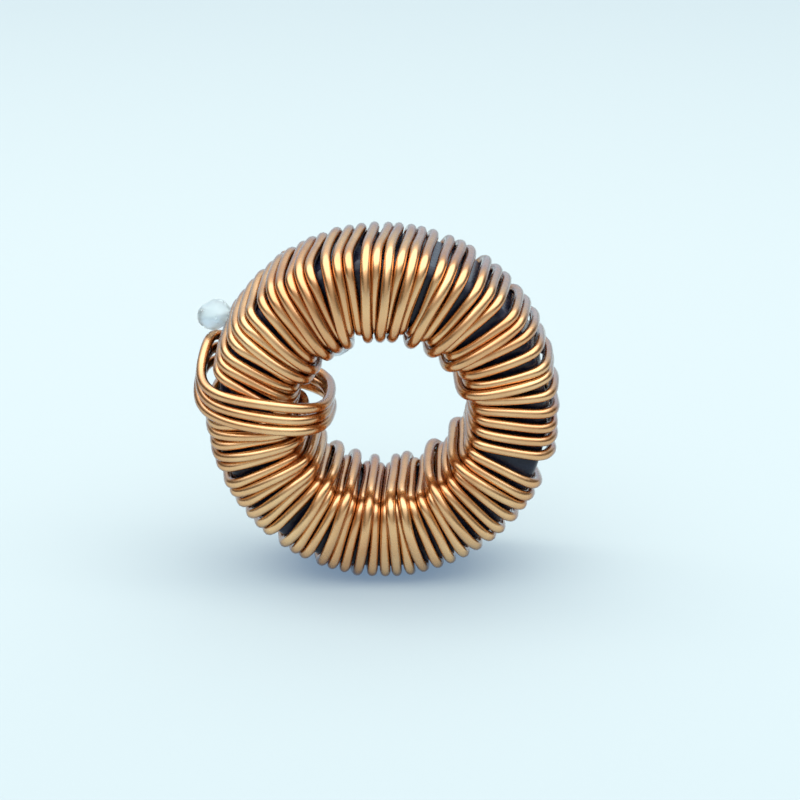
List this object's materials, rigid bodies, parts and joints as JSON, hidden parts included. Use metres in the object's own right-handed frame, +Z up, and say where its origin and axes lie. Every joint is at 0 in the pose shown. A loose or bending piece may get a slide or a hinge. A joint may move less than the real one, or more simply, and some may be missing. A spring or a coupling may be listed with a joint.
{
  "type": "toroidal inductor",
  "caption": "Toroidal power choke: a dark coated ring core closely wound with thick enamelled copper wire, with dabs of clear glue and short lead ends behind.",
  "frame": {"origin": "on the floor, under the middle of the box round the whole part", "axes": "+Z up with the ring standing on its rim, +Y along the ring's axis towards the side the two leads leave from, so the front faces -Y"},
  "size_m": [0.0372, 0.0254, 0.0363],
  "materials": {
    "enamelled_copper": "glossy enamel over copper",
    "core_coat": "glossy epoxy coat",
    "hot_melt": "clear, waxy gloss"
  },
  "bodies": {
    "root": {"core": "core_coat", "winding_1": "enamelled_copper", "winding_2": "enamelled_copper", "winding_3": "enamelled_copper", "winding_4": "enamelled_copper", "winding_5": "enamelled_copper", "winding_6": "enamelled_copper", "winding_7": "enamelled_copper", "winding_8": "enamelled_copper", "winding_9": "enamelled_copper", "winding_10": "enamelled_copper", "rim_glue": "hot_melt", "hole_glue": "hot_melt"}
  },
  "joints": []
}
